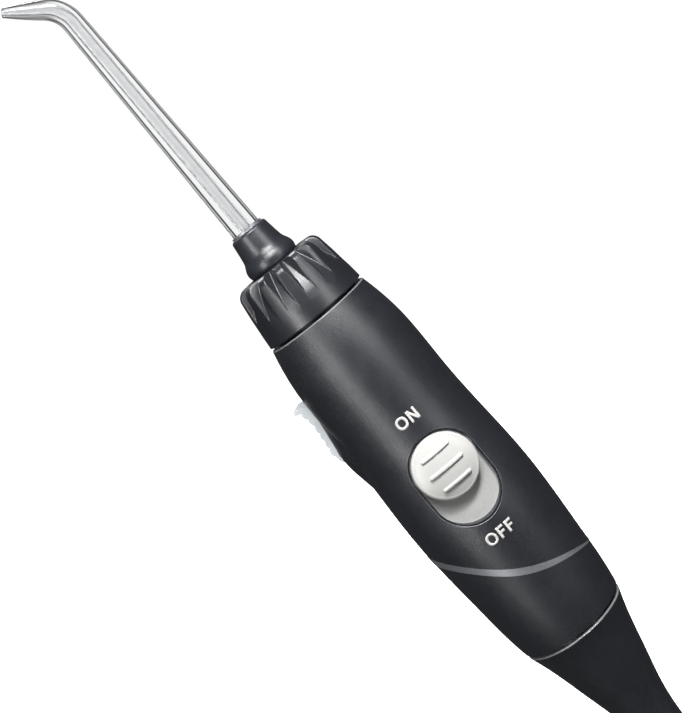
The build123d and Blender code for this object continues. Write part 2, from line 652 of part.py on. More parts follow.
def nozzle(start_radius, middle_radius, end_radius):
    """Tapering horn along the bend and the straight end."""
    arc_length = math.radians(NOZZLE_BEND_ANGLE) * NOZZLE_BEND_RADIUS
    total = arc_length + NOZZLE_LENGTH
    stations = [0, arc_length / 3, arc_length * 2 / 3, arc_length, arc_length + NOZZLE_LENGTH / 2, total]
    sections = []
    for distance in stations:
        share = distance / total
        radius = start_radius + (end_radius - start_radius) * share
        radius += 4 * (middle_radius - (start_radius + end_radius) / 2) * share * (1 - share)
        sections.append(nozzle_frame(distance) * Circle(radius))
    return loft(sections)


def jet_tip():
    """Clear tip: shank with the latch groove, tapering tube and angled nozzle, with a bore."""
    shank = rod_z(SHANK_RADIUS, SHANK_BOTTOM, COLLAR_TOP)
    shank -= ring(SHANK_RADIUS + 1, 2.5, LATCH_Z - 1.2, LATCH_Z + 1.2)
    tube = turned([(COLLAR_TOP, 3.3), (159.6, 3.2), (180, 2.86), (200.7, 2.55), (NOZZLE_BEND_Z, 2.42)])
    tip = shank + tube + nozzle(2.42, 2.05, NOZZLE_RADIUS)
    tip -= rod_z(TIP_BORE_RADIUS, SHANK_BOTTOM - 1, NOZZLE_BEND_Z)
    return tip - nozzle(TIP_BORE_RADIUS, 0.75, NOZZLE_BORE_RADIUS)


def tip_ring():
    """Thin ring on the tip where it enters the collar."""
    return ring(3.75, 3.32, COLLAR_TOP + 0.05, COLLAR_TOP + 0.45)


# --- write every sub-part -----------------------------------------------------------------------

def sub_parts():
    """Every separate piece by name."""
    parts = {
        "front_shell": front_shell(),
        "rear_shell": rear_shell(),
        "trim_band": trim_band(),
        "tail_sleeve": tail_sleeve(),
        "switch_tray": switch_tray(),
        "switch_bezel": switch_bezel(),
        "slider_button": slider_button(),
        "slider_carriage": slider_carriage(),
        "slider_screw": slider_screw(),
        "valve_body": valve_body(),
        "valve_plug": valve_plug(),
        "plug_crank": plug_crank(),
        "plug_retainer": plug_retainer(),
        "hose_connector": hose_connector(),
        "connector_retainer": connector_retainer(),
        "inlet_tube": inlet_tube(),
        "outlet_tube": outlet_tube(),
        "tip_seat": tip_seat(),
        "tip_seal": tip_seal(),
        "head_bushing": head_bushing(),
        "release_button": release_button(),
        "hinge_pin": hinge_pin(),
        "latch_plate": latch_plate(),
        "latch_spring": latch_spring(),
        "rotator_knob": rotator_knob(),
        "nose_collar": nose_collar(),
        "tip_spindle": tip_spindle(),
        "spindle_clip": spindle_clip(),
        "knob_washer": knob_washer(),
        "jet_tip": jet_tip(),
        "tip_ring": tip_ring(),
    }
    for number, (x, z) in enumerate(CASE_SCREWS, start=1):
        parts[f"case_screw_{number}"] = case_screw(x, z)
    for number, x in enumerate(SEAL_POSITIONS, start=1):
        parts[f"plug_seal_{number}"] = plug_seal(x)
    return parts


os.makedirs("parts", exist_ok=True)
for name, shape in sub_parts().items():
    export_step(shape, f"parts/{name}.step")
    print(f"{name}: {len(shape.solids())} solid, {shape.volume:.1f} mm3")
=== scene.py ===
"""Water flosser handset: looks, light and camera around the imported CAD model, in metres.

The main axis is Z with the tail at z = 0, the switch faces -Y, and the release button is at -X.
"""

import json
import math

import bmesh
import bpy
import numpy as np
from mathutils import Matrix, Vector
from mathutils.bvhtree import BVHTree


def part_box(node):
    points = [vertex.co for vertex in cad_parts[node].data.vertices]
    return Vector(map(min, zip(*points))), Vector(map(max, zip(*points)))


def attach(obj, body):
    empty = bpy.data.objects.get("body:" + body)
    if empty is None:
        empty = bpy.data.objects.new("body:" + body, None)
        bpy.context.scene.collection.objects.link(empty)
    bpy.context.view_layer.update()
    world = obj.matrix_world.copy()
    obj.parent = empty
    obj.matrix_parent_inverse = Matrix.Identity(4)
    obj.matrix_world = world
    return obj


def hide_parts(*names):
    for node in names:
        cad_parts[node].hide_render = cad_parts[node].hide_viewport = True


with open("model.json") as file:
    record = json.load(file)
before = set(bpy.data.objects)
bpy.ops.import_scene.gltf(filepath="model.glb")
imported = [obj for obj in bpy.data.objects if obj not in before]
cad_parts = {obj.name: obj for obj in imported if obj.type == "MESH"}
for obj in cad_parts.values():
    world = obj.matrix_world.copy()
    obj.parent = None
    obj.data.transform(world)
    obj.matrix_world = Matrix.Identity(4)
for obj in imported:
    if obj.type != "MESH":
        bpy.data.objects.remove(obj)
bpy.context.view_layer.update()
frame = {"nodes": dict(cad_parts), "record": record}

MM = 0.001


# --- helpers: meshes ----------------------------------------------------------------------------

def corner(name, index):
    """Corner of a CAD node's box in millimetres: index 0 is the lowest, 1 the highest."""
    return [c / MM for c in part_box(name)[index]]


def add_mesh(name, vertices, faces, body, stands_for=(), sharp_angle=40.0):
    """New smooth-shaded piece from vertices in millimetres, riding on a body."""
    mesh = bpy.data.meshes.new(name)
    mesh.from_pydata([tuple(c * MM for c in v) for v in vertices], [], faces)
    mesh.validate()
    mesh.shade_smooth()
    mesh.set_sharp_from_angle(angle=math.radians(sharp_angle))
    piece = bpy.data.objects.new(name, mesh)
    bpy.context.scene.collection.objects.link(piece)
    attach(piece, body)
    if stands_for:
        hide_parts(*stands_for)
    return piece


def grid_faces(rows, columns, close_columns=True):
    """Quads between the rows of a grid of vertices that is stored row by row."""
    faces = []
    last = columns if close_columns else columns - 1
    for row in range(rows - 1):
        for column in range(last):
            right = (column + 1) % columns
            low, high = row * columns, (row + 1) * columns
            faces.append((low + column, low + right, high + right, high + column))
    return faces


def closing_faces(rows, columns):
    """Quads that join the last row of a grid of vertices back to its first."""
    last = (rows - 1) * columns
    faces = []
    for column in range(columns):
        right = (column + 1) % columns
        faces.append((last + column, last + right, right, column))
    return faces


def fix_normals(piece):
    """Turns the faces of a closed mesh outwards."""
    shape = bmesh.new()
    shape.from_mesh(piece.data)
    bmesh.ops.recalc_face_normals(shape, faces=shape.faces)
    shape.to_mesh(piece.data)
    shape.free()


def smooth_curve(points, count):
    """Points along a Catmull-Rom curve through the given (a, b) points."""
    ends = [points[0], *points, points[-1]]
    pieces = len(points) - 1
    curve = []
    for step in range(count):
        place = pieces * step / (count - 1)
        index = min(int(place), pieces - 1)
        t = place - index
        p0, p1, p2, p3 = (np.array(p, float) for p in ends[index:index + 4])
        value = 2 * p1 + (p2 - p0) * t
        value = value + (2 * p0 - 5 * p1 + 4 * p2 - p3) * t ** 2
        value = value + (3 * p1 - p0 - 3 * p2 + p3) * t ** 3
        curve.append(tuple(0.5 * value))
    return curve


CLEAR_STRIP_X = 10.5           # beside the switch opening, where the shell is whole


def shell_surface():
    """Function that gives the front of the shell and its normal at (x, z), all in millimetres."""
    mesh = frame["nodes"]["front_shell"].data
    tree = BVHTree.FromPolygons([v.co for v in mesh.vertices], [p.vertices[:] for p in mesh.polygons])

    def radius(z):
        start = Vector((CLEAR_STRIP_X * MM, -0.05, z * MM))
        place = tree.ray_cast(start, Vector((0, 1, 0)))[0] / MM
        return math.hypot(place.x, place.y)

    def front(x, z):
        r = (radius(z - 0.5) + radius(z + 0.5)) / 2
        slope = (radius(z + 2) - radius(z - 2)) / 4
        place = Vector((x, -math.sqrt(r * r - x * x), z))
        return place, Vector((place.x, place.y, -slope * r)).normalized()

    return front


# --- helpers: materials -------------------------------------------------------------------------

class Nodes:
    """Small wrapper that builds one procedural material."""

    def __init__(self, name):
        self.material = bpy.data.materials.new(name)
        self.material.use_nodes = True
        self.tree = self.material.node_tree
        self.shader = self.tree.nodes["Principled BSDF"]
        self.place = self.add("ShaderNodeTexCoord").outputs["Object"]

    def add(self, kind, **settings):
        node = self.tree.nodes.new(kind)
        for key, value in settings.items():
            setattr(node, key, value)
        return node

    def link(self, source, target):
        self.tree.links.new(source, target)

    def noise(self, scale, detail=2.0, roughness=0.5):
        node = self.add("ShaderNodeTexNoise")
        node.inputs["Scale"].default_value = scale
        node.inputs["Detail"].default_value = detail
        node.inputs["Roughness"].default_value = roughness
        self.link(self.place, node.inputs["Vector"])
        return node.outputs["Fac"]

    def span(self, value, low, high, start=0.3, end=0.7):
        """Maps a 0-1 value to a range."""
        node = self.add("ShaderNodeMapRange")
        node.inputs["From Min"].default_value = start
        node.inputs["From Max"].default_value = end
        node.inputs["To Min"].default_value = low
        node.inputs["To Max"].default_value = high
        self.link(value, node.inputs["Value"])
        return node.outputs["Result"]

    def colours(self, value, low, high):
        """Blends two colours by a value; either may be another output."""
        node = self.add("ShaderNodeMix", data_type="RGBA")
        self.link(value, node.inputs["Factor"])
        for socket, colour in (("A", low), ("B", high)):
            if isinstance(colour, tuple):
                node.inputs[socket].default_value = (*colour, 1)
            else:
                self.link(colour, node.inputs[socket])
        return node.outputs["Result"]

    def along(self, axis, low, high, start, end):
        """Maps a coordinate of the piece, in metres, to a range."""
        node = self.add("ShaderNodeSeparateXYZ")
        self.link(self.place, node.inputs[0])
        return self.span(node.outputs[axis], low, high, start, end)

    def combine(self, operation, a, b):
        """Joins two outputs with one calculation."""
        node = self.add("ShaderNodeMath", operation=operation)
        self.link(a, node.inputs[0])
        self.link(b, node.inputs[1])
        return node.outputs[0]

    def bump(self, height, distance, strength=1.0, under=None):
        node = self.add("ShaderNodeBump")
        node.inputs["Strength"].default_value = strength
        node.inputs["Distance"].default_value = distance
        self.link(height, node.inputs["Height"])
        if under is not None:
            self.link(under, node.inputs["Normal"])
        return node.outputs["Normal"]

    def set(self, **values):
        for key, value in values.items():
            self.shader.inputs[key.replace("_", " ")].default_value = value

    def to_shader(self, **sources):
        for key, source in sources.items():
            self.link(source, self.shader.inputs[key.replace("_", " ")])


def moulded_plastic(name, dark, light, roughness, grain, grain_depth, specular=0.5):
    """Injection-moulded plastic: fine spark grain, faint flow mottling and uneven gloss."""
    m = Nodes(name)
    mottling = m.span(m.noise(90, 3), 0, 0.45)
    speckle = m.span(m.noise(grain * 1.6, 2), 0, 1, 0.35, 0.75)
    mix = m.add("ShaderNodeMath", operation="MULTIPLY_ADD")
    m.link(speckle, mix.inputs[0])
    mix.inputs[1].default_value = 0.55
    m.link(mottling, mix.inputs[2])
    low, high = roughness
    rough = m.span(m.noise(260, 3), low, high)
    texture = m.bump(m.noise(grain, 3, 0.6), grain_depth)
    waves = m.bump(mottling, 0.00004, 0.25, texture)
    m.set(Specular_IOR_Level=specular)
    m.to_shader(Base_Color=m.colours(mix.outputs[0], dark, light), Roughness=rough, Normal=waves)
    return m.material


HEAD_EDGE_HIGHLIGHT = (0.12912, 0.12920)         # z where the rounded edge under the knob, with its painted highlight band, begins, metres
SLEEVE_EDGE_HIGHLIGHT = (0.04212, 0.04220)       # painted highlight band on the rounded edge above the tail sleeve, from
SLEEVE_EDGE_HIGHLIGHT_END = (0.04245, 0.04250)   # and to
TRAY_RIM = (-0.01265, -0.01245)        # y that divides the rim of the switch tray from its floor


def shell_plastic():
    """Graphite plastic of the handle, glossier on the rounded edges at its two seams, where a lighter
    band is a painted highlight.
    """
    m = Nodes("dark_shell")
    speckle = m.span(m.noise(4200, 2), 0, 1, 0.42, 0.68)
    tone = m.combine("MAXIMUM", m.span(m.noise(90, 3), 0, 0.4), speckle)
    # masks of the painted highlight bands on the two rounded seam edges
    head_edge_highlight = m.along("Z", 0, 1, *HEAD_EDGE_HIGHLIGHT)
    sleeve_edge_highlight = m.along("Z", 0, 1, *SLEEVE_EDGE_HIGHLIGHT)
    sleeve_edge_highlight = m.combine("MULTIPLY", sleeve_edge_highlight, m.along("Z", 1, 0, *SLEEVE_EDGE_HIGHLIGHT_END))
    edge = m.combine("MAXIMUM", head_edge_highlight, sleeve_edge_highlight)
    rough = m.span(m.noise(260, 3), 0.34, 0.41)
    glossy = m.combine("MULTIPLY", m.span(edge, 1, 0.4, 0, 1), rough)
    grain = m.bump(m.noise(3600, 3, 0.6), 0.00006)
    waves = m.bump(m.noise(110, 3), 0.00004, 0.25, grain)
    m.set(Specular_IOR_Level=1.0)
    skin = m.colours(tone, (0.007, 0.008, 0.0105), (0.021, 0.0235, 0.030))
    # painted highlight: light grey colour on the rounded seam edges stands in for the key light's
    # reflection there
    skin = m.colours(edge, skin, (0.17, 0.175, 0.185))
    m.to_shader(Base_Color=skin, Roughness=glossy, Normal=waves)
    return m.material


def tray_plastic():
    """Pale grey floor of the switch tray, with a dark rim round it."""
    m = Nodes("grey_tray")
    speckle = m.span(m.noise(4200, 2), 0, 1)
    pale = m.colours(speckle, (0.35, 0.35, 0.345), (0.41, 0.41, 0.40))
    rim = m.along("Y", 1, 0, *TRAY_RIM)
    m.to_shader(
        Base_Color=m.colours(rim, pale, (0.02, 0.022, 0.027)),
        Roughness=m.span(m.noise(260, 3), 0.36, 0.46),
        Normal=m.bump(m.noise(3600, 3, 0.6), 0.00001),
    )
    return m.material


def satin_metal(name, dark, light, roughness, stroke_scale):
    """Thin metallic layer with a fine brushed line."""
    m = Nodes(name)
    stretch = m.add("ShaderNodeMapping")
    stretch.inputs["Scale"].default_value = (1, 1, 12)
    m.link(m.place, stretch.inputs["Vector"])
    m.place = stretch.outputs["Vector"]
    lines = m.noise(stroke_scale, 3)
    m.set(Metallic=0.85)
    low, high = roughness
    m.to_shader(
        Base_Color=m.colours(m.span(lines, 0, 1), dark, light),
        Roughness=m.span(lines, low, high),
        Normal=m.bump(lines, 0.000004),
    )
    return m.material


def clear_plastic(name, dark, light, roughness):
    """Clear moulded plastic with a trace of flow lines."""
    m = Nodes(name)
    flow = m.noise(120, 2)
    low, high = roughness
    m.set(Transmission_Weight=1.0, IOR=1.49)
    m.to_shader(
        Base_Color=m.colours(m.span(flow, 0, 1), dark, light),
        Roughness=m.span(m.noise(300, 2), low, high),
        Normal=m.bump(flow, 0.000002, 0.2),
    )
    return m.material


def soft_rubber(name, dark, light, roughness):
    """Matte rubber or soft tube with a fine bloom."""
    m = Nodes(name)
    bloom = m.noise(700, 4)
    low, high = roughness
    m.to_shader(
        Base_Color=m.colours(m.span(bloom, 0, 1), dark, light),
        Roughness=m.span(m.noise(400, 2), low, high),
        Normal=m.bump(m.noise(3000, 2), 0.00001),
    )
    return m.material


MATERIALS = {
    "dark_shell": shell_plastic(),
    "dark_knob": moulded_plastic(
        "dark_knob", (0.009, 0.010, 0.013), (0.018, 0.020, 0.026), (0.30, 0.36), 3600, 0.000030, 1.0
    ),
    "dark_matte": moulded_plastic(
        "dark_matte", (0.012, 0.0135, 0.0175), (0.024, 0.027, 0.034), (0.31, 0.36), 3600, 0.000030, 1.0
    ),
    "silver_trim": satin_metal(
        "silver_trim", (0.38, 0.39, 0.42), (0.50, 0.51, 0.55), (0.38, 0.48), 900
    ),
    "grey_tray": tray_plastic(),
    "light_button": moulded_plastic(
        "light_button", (0.46, 0.46, 0.445), (0.52, 0.52, 0.50), (0.26, 0.34), 4200, 0.000008
    ),
    "pale_button": moulded_plastic(
        "pale_button", (0.60, 0.64, 0.66), (0.70, 0.74, 0.76), (0.28, 0.38), 4200, 0.000008
    ),
    "clear_tip": clear_plastic(
        "clear_tip", (0.93, 0.94, 0.947), (0.955, 0.962, 0.966), (0.001, 0.006)
    ),
    "clear_bore": clear_plastic(
        "clear_bore", (0.82, 0.835, 0.845), (0.86, 0.872, 0.88), (0.30, 0.40)
    ),
    "white_acetal": moulded_plastic(
        "white_acetal", (0.70, 0.70, 0.68), (0.78, 0.78, 0.76), (0.38, 0.48), 3600, 0.000008
    ),
    "black_acetal": moulded_plastic(
        "black_acetal", (0.006, 0.006, 0.007), (0.012, 0.012, 0.013), (0.4, 0.5), 3600, 0.000008
    ),
    "polished_edge": moulded_plastic(
        "polished_edge", (0.022, 0.024, 0.030), (0.032, 0.035, 0.042), (0.16, 0.24), 5200,
        0.000004, 1.0
    ),
    "soft_tube": soft_rubber("soft_tube", (0.48, 0.49, 0.50), (0.60, 0.61, 0.62), (0.45, 0.60)),
    "black_rubber": soft_rubber(
        "black_rubber", (0.012, 0.012, 0.012), (0.03, 0.03, 0.03), (0.55, 0.7)
    ),
    "steel": satin_metal("steel", (0.50, 0.50, 0.51), (0.62, 0.62, 0.63), (0.22, 0.34), 1500),
    "legend": moulded_plastic(
        "legend", (0.56, 0.55, 0.53), (0.62, 0.61, 0.59), (0.45, 0.55), 5200, 0.000006
    ),
}


def paint(piece, material_name):
    """Gives a piece one of the materials."""
    piece.data.materials.clear()
    piece.data.materials.append(MATERIALS[material_name])


def paint_frame():
    """Each CAD node takes the material that its slot in the record names."""
    for part in frame["record"]["subparts"]:
        node = frame["nodes"][part["node"]]
        paint(node, part["material_slot"])


# --- rotator knob -------------------------------------------------------------------------------

KNOB_BOTTOM = corner("rotator_knob", 0)[2]
KNOB_TOP = corner("rotator_knob", 1)[2]
KNOB_FOOT_RADIUS = corner("rotator_knob", 1)[0]
KNOB_SIDE = [
    (KNOB_FOOT_RADIUS - 0.02, KNOB_BOTTOM),
    (11.95, KNOB_BOTTOM + 3.5),
    (11.5, KNOB_BOTTOM + 7.5),
    (11.0, KNOB_TOP - 2.3),
    (10.66, KNOB_TOP),
]
KNOB_SHOULDER = 1.9            # rounding between side and top
KNOB_CORE = (6.2, KNOB_BOTTOM + 6.0)   # radius and height of a ring well inside the knob
KNOB_CORNER_BLEND = 0.25       # rounding at the foot of the knob
FLUTE_CORNER_BLEND = 0.14      # rounding of the edges of the flutes
KNOB_UNDERSIDE_RADIUS = 9.95
FLUTES = 14
FLUTE_FIRST = math.radians(10.2 - 90)
FLUTE_TOP = KNOB_TOP + 0.1
FLUTE_END = KNOB_BOTTOM + 4.0
FLUTE_DEPTH = 3.06
FLUTE_LEAN = 0.6
FLUTE_NARROW = 0.05
FLUTE_WIDE = 1.35


def soft_max(a, b, radius):
    """Larger of two fields with the corner between them rounded."""
    blend = np.clip(0.5 + 0.5 * (a - b) / radius, 0, 1)
    return b + (a - b) * blend + radius * blend * (1 - blend)


def knob_field(r, offset, z):
    """Negative inside the fluted knob; offset is the angle from the nearest flute's middle."""
    heights = [point[1] for point in KNOB_SIDE]
    radii = [point[0] for point in KNOB_SIDE]
    side = r - np.interp(z, heights, radii) + KNOB_SHOULDER
    top = z - KNOB_TOP + KNOB_SHOULDER
    outside = np.hypot(np.maximum(side, 0), np.maximum(top, 0))
    blank = outside + np.minimum(np.maximum(side, top), 0) - KNOB_SHOULDER
    blank = soft_max(blank, KNOB_BOTTOM - z, KNOB_CORNER_BLEND)
    share = (z - FLUTE_END) / (FLUTE_TOP - FLUTE_END)
    depth = FLUTE_DEPTH * np.maximum(share, 0) ** 1.6 - 2.0 * np.maximum(-share, 0)
    half_floor = FLUTE_WIDE + (FLUTE_NARROW - FLUTE_WIDE) * np.clip(share, 0, 1.2)
    wall = np.maximum(np.abs(r * np.sin(offset)) - half_floor, 0) / FLUTE_LEAN
    groove = (r * np.cos(offset) - np.interp(z, heights, radii) + depth - wall) * FLUTE_LEAN
    return soft_max(blank, groove, FLUTE_CORNER_BLEND)


def knob_surface(directions, angles):
    """Distance from the ring inside the knob to its surface, for each direction and angle."""
    spacing = 2 * math.pi / FLUTES
    offset = (angles - FLUTE_FIRST + spacing / 2) % spacing - spacing / 2
    near = np.zeros((len(directions), len(angles)))
    far = np.full_like(near, 14.0)
    cosine, sine = np.cos(directions)[:, None], np.sin(directions)[:, None]
    for _ in range(40):
        middle = (near + far) / 2
        r = KNOB_CORE[0] + middle * cosine
        z = KNOB_CORE[1] + middle * sine
        field = knob_field(r, offset[None, :], z)
        near = np.where(field < 0, middle, near)
        far = np.where(field < 0, far, middle)
    return (near + far) / 2


def build_knob():
    """Fluted knob as one dense skin, with its underside turned in towards the seam."""
    columns, rows = FLUTES * 44, 130
    angles = 2 * math.pi * np.arange(columns) / columns
    lowest = math.atan2(KNOB_BOTTOM - KNOB_CORE[1] + 0.02, KNOB_FOOT_RADIUS - KNOB_CORE[0])
    directions = np.linspace(lowest - 0.02, math.pi / 2, rows)
    reach = knob_surface(directions, angles)
    vertices = []
    for inner_radius, lift in ((KNOB_UNDERSIDE_RADIUS, 0.8), (KNOB_UNDERSIDE_RADIUS, 0.0)):
        for angle in angles:
            x, y = inner_radius * math.cos(angle), inner_radius * math.sin(angle)
            vertices.append((x, y, KNOB_BOTTOM + lift))
    for row, direction in enumerate(directions):
        for column, angle in enumerate(angles):
            r = KNOB_CORE[0] + reach[row, column] * math.cos(direction)
            z = KNOB_CORE[1] + reach[row, column] * math.sin(direction)
            vertices.append((r * math.cos(angle), r * math.sin(angle), z))
    faces = grid_faces(rows + 2, columns)
    knob = add_mesh("knob_fluted", vertices, faces, "rotator", ["rotator_knob"], 60)
    paint(knob, "dark_knob")


# --- slide button -------------------------------------------------------------------------------

BUTTON_CENTRE_Z = (corner("slider_button", 0)[2] + corner("slider_button", 1)[2]) / 2
BUTTON_RADIUS = corner("slider_button", 1)[0]
BUTTON_CROWN_Y = -16.1
BUTTON_EDGE_Y = -14.55
BUTTON_ROUND = 0.75
BUTTON_BACK_Y = -12.5
BUTTON_BACK_CHAMFER = (0.15, 0.08)
BUTTON_RIBS = [(-3.8, 7.3), (0.0, 8.7), (3.8, 7.3)]
BUTTON_RIB_HALF_WIDTH = 0.42
BUTTON_RIB_HEIGHT = 0.46
SWITCH_TRAVEL = 6.5


def button_height(x, z):
    """Front face of the button at a point from its middle: dome plus three ribs."""
    r = math.hypot(x, z)
    dome = BUTTON_CROWN_Y + (BUTTON_EDGE_Y - BUTTON_CROWN_Y) * (r / BUTTON_RADIUS) ** 2
    lift = 0.0
    for middle, length in BUTTON_RIBS:
        beyond = max(abs(x) - (length / 2 - BUTTON_RIB_HALF_WIDTH), 0)
        distance = math.hypot(beyond, z - middle) / BUTTON_RIB_HALF_WIDTH
        if distance < 1.25:
            share = min(1.0, (1.25 - distance) / 0.85)
            lift = max(lift, BUTTON_RIB_HEIGHT * share * share * (3 - 2 * share))
    return dome - lift


def build_slider_button():
    """Domed round button with a rounded rim and three raised ribs."""
    columns = 240
    face_radius = BUTTON_RADIUS - BUTTON_ROUND
    rings = [face_radius * step / 90 for step in range(1, 91)]
    vertices = [(0, button_height(0, 0), BUTTON_CENTRE_Z)]
    for radius in rings:
        for column in range(columns):
            angle = 2 * math.pi * column / columns
            x, z = radius * math.cos(angle), radius * math.sin(angle)
            vertices.append((x, button_height(x, z), BUTTON_CENTRE_Z + z))
    rim_y = button_height(face_radius, 0)
    side = [(math.sin(t), 1 - math.cos(t)) for t in np.linspace(0, math.pi / 2, 9)[1:]]
    profile = [(face_radius + BUTTON_ROUND * s, rim_y + BUTTON_ROUND * c) for s, c in side]
    inset, deeper = BUTTON_BACK_CHAMFER
    profile.append((BUTTON_RADIUS, BUTTON_BACK_Y))
    profile.append((BUTTON_RADIUS - inset, BUTTON_BACK_Y + deeper))
    for radius, y in profile:
        for column in range(columns):
            angle = 2 * math.pi * column / columns
            vertices.append((radius * math.cos(angle), y, BUTTON_CENTRE_Z + radius * math.sin(angle)))
    count = len(rings) + len(profile)
    faces = [(0, 1 + column, 1 + (column + 1) % columns) for column in range(columns)]
    for a, b, c, d in grid_faces(count, columns):
        faces.append((a + 1, b + 1, c + 1, d + 1))
    last = 1 + (count - 1) * columns
    faces.append(tuple(last + column for column in range(columns)))
    button = add_mesh("slide_button", vertices, faces, "slider", ["slider_button"], 50)
    fix_normals(button)
    paint(button, "light_button")


BEZEL_INNER_RADIUS = 7.65
BEZEL_ROUND = 0.27
BEZEL_DEPTH = 3.0


def bezel_path():
    """Heights of the centre and outward directions (x, z) round the opening of the switch."""
    high, low = BUTTON_CENTRE_Z, BUTTON_CENTRE_Z - SWITCH_TRAVEL
    path = []
    for start, centre_z in ((0.0, high), (math.pi, low)):
        for step in range(97):
            turn = start + math.pi * step / 96
            path.append((centre_z, math.cos(turn), math.sin(turn)))
        side = math.cos(start + math.pi)
        other = low if centre_z == high else high
        for step in range(1, 12):
            path.append((centre_z + (other - centre_z) * step / 12, side, 0.0))
    return path


def build_switch_bezel():
    """Polished ring of the opening, with its inner edge rounded over."""
    front = shell_surface()
    reach = BEZEL_INNER_RADIUS + BEZEL_ROUND + 0.05
    vertices = []
    for centre_z, away_x, away_z in bezel_path():
        for step in range(9):
            turn = math.pi / 2 * step / 8
            distance = reach - 0.05 - BEZEL_ROUND * math.sin(turn)
            x, z = away_x * distance, centre_z + away_z * distance
            y = front(x, z)[0].y + BEZEL_ROUND * (1 - math.cos(turn)) - 0.01
            vertices.append((x, y, z))
        vertices.append((x, y + BEZEL_DEPTH, z))
        x, z = away_x * reach, centre_z + away_z * reach
        y = front(x, z)[0].y
        vertices += [(x, y + BEZEL_DEPTH, z), (x, y, z)]
    columns = 12
    rows = len(vertices) // columns
    faces = grid_faces(rows, columns) + closing_faces(rows, columns)
    bezel = add_mesh("switch_bezel_ring", vertices, faces, "handle", ["switch_bezel"])
    fix_normals(bezel)
    paint(bezel, "polished_edge")


# --- jet tip ------------------------------------------------------------------------------------

TIP_START = corner("tip_ring", 0)[2]
SHANK_BOTTOM = corner("jet_tip", 0)[2]
TUBE_SHAPE = [(TIP_START, 3.3), (159.6, 3.2), (180, 2.86), (200.7, 2.55), (208.15, 2.42)]
TUBE_END_RADIUS = TUBE_SHAPE[-1][1]
SHANK_RADIUS = 3.1
LATCH_GROOVE = (113.2, 115.6)  # heights between which the latch plate catches the shank
LATCH_GROOVE_RADIUS = 2.5
BEND_Z = TUBE_SHAPE[-1][0]
BEND_RADIUS = 7.0
BEND_ANGLE = math.radians(55)
NOZZLE_LENGTH = 8.6
NOZZLE_MIDDLE_RADIUS = 2.05
OUTLET_RADIUS = 1.0
BORE_RADIUS = 0.9
BORE_MIDDLE_RADIUS = 0.75
BORE_END_RADIUS = 0.45


def tip_station(distance):
    """Centre and direction along the tip, measured from the start of the bend."""
    arc = BEND_ANGLE * BEND_RADIUS
    angle = BEND_ANGLE * min(max(distance / arc, 0), 1)
    along = max(distance - arc, 0)
    x = -BEND_RADIUS * (1 - math.cos(angle)) - along * math.sin(angle)
    z = BEND_Z + min(distance, 0) + BEND_RADIUS * math.sin(angle) + along * math.cos(angle)
    return x, z, angle


def horn_radius(start, middle, end, share):
    """Radius of the nozzle or of its bore at a share of the way from the bend to the outlet."""
    bulge = middle - (start + end) / 2
    return start + (end - start) * share + 4 * bulge * share * (1 - share)


def build_jet_tip():
    """Clear tip with its bore as one closed thick-walled tube."""
    columns = 96
    horn = BEND_ANGLE * BEND_RADIUS + NOZZLE_LENGTH
    heights, radii = zip(*smooth_curve(TUBE_SHAPE, 60))
    groove_low, groove_high = LATCH_GROOVE
    shank = [
        (SHANK_BOTTOM, SHANK_RADIUS),
        (groove_low, SHANK_RADIUS), (groove_low + 0.02, LATCH_GROOVE_RADIUS),
        (groove_high - 0.02, LATCH_GROOVE_RADIUS), (groove_high, SHANK_RADIUS),
        (TIP_START - 0.05, SHANK_RADIUS),
    ]
    skin = [(z - BEND_Z, radius) for z, radius in [*shank, *zip(heights, radii)]]
    for step in range(1, 41):
        share = step / 40
        radius = horn_radius(TUBE_END_RADIUS, NOZZLE_MIDDLE_RADIUS, OUTLET_RADIUS, share)
        skin.append((horn * share, radius))
    lip = skin[-1][1]
    skin[-1] = (horn - 0.12, lip + 0.02)
    skin.append((horn - 0.03, lip - 0.04))
    skin.append((horn, lip - 0.14))
    bore_row = len(skin)
    for step in range(40, -1, -1):
        share = step / 40
        radius = horn_radius(BORE_RADIUS, BORE_MIDDLE_RADIUS, BORE_END_RADIUS, share)
        skin.append((horn * share, radius))
    for step in range(1, 41):
        skin.append(((SHANK_BOTTOM - BEND_Z) * step / 40, BORE_RADIUS))
    vertices = []
    for distance, radius in skin:
        x, z, angle = tip_station(distance)
        for column in range(columns):
            turn = 2 * math.pi * column / columns
            across, depth = radius * math.cos(turn), radius * math.sin(turn)
            vertices.append((x + across * math.cos(angle), depth, z + across * math.sin(angle)))
    rows = len(skin)
    faces = grid_faces(rows, columns) + closing_faces(rows, columns)
    tip = add_mesh("jet_tip_clear", vertices, faces, "tip", ["jet_tip"], 50)
    fix_normals(tip)
    paint(tip, "clear_tip")
    tip.data.materials.append(MATERIALS["clear_bore"])
    for polygon in tip.data.polygons[bore_row * columns:(rows - 1) * columns]:
        polygon.material_index = 1


# --- release button -----------------------------------------------------------------------------

RELEASE_TURN = math.radians(-16)
RELEASE_HALF_WIDTH = 3.45
RELEASE_PIN = (-12.3, 101.5)   # x and z of the hinge pin
RELEASE_FOOT_RADIUS = 1.55     # rounding of the foot round the pin
RELEASE_EDGE_ROUND = 0.25
PUSHER = [(-13.2, -11.4), (-2.5, 2.5), (113.9, 114.9)]
LOBE_START = 103.45
LOBE_PITCH = 1.95
LOBE_DEPTH = 0.42
LOBES = 6


def crest_x(z):
    """Line of the grip lobes down the back of the release button."""
    return -15.72 - 0.075 * max(112 - z, 0) ** 1.2 - 0.21 * max(z - 112, 0)


